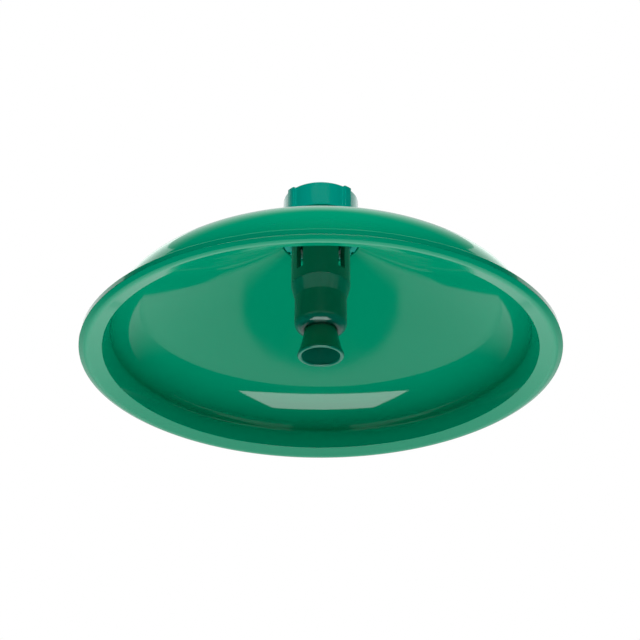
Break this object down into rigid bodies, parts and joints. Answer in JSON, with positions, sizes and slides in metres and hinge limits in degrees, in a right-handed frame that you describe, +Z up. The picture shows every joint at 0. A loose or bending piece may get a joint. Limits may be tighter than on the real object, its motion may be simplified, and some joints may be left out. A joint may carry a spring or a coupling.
{
  "type": "emergency drench shower head",
  "caption": "Overhead emergency shower head: wide green bowl open downwards, central slotted water tube with a flared nozzle, and a ribbed swivel nut for the supply pipe.",
  "frame": {"origin": "on the axis of the head, at the lowest point of the bowl's lip", "axes": "+Z up along the axis towards the supply pipe; -Y is the front, and +X is to its right"},
  "size_m": [0.27, 0.27, 0.1095],
  "materials": {
    "bowl_abs": "glossy moulded green ABS",
    "fitting_abs": "glossy moulded green ABS",
    "tube_abs": "glossy moulded green ABS",
    "acetal": "satin moulded white acetal",
    "epdm": "matt black EPDM",
    "stainless": "drawn stainless spring wire"
  },
  "bodies": {
    "head": {"bowl": "bowl_abs", "snap_ring": "stainless", "pipe_washer": "epdm", "inlet_hub": "fitting_abs", "hub_gasket": "epdm", "slip_washer": "acetal", "lock_nut": "fitting_abs", "control_seat": "acetal", "control_disc": "epdm", "spreader_tube": "tube_abs", "tube_o_ring": "epdm", "nozzle_body": "tube_abs", "nozzle_o_ring": "epdm", "spray_vane": "acetal", "nozzle_tip": "tube_abs", "tip_o_ring": "epdm"},
    "nut": {"union_nut": "fitting_abs"}
  },
  "joints": [
    {"name": "nut_swivel", "type": "hinge", "parent": "head", "child": "nut", "pos_m": [0, 0, 0.1], "axis": [0, 0, 1], "continuous": true}
  ]
}
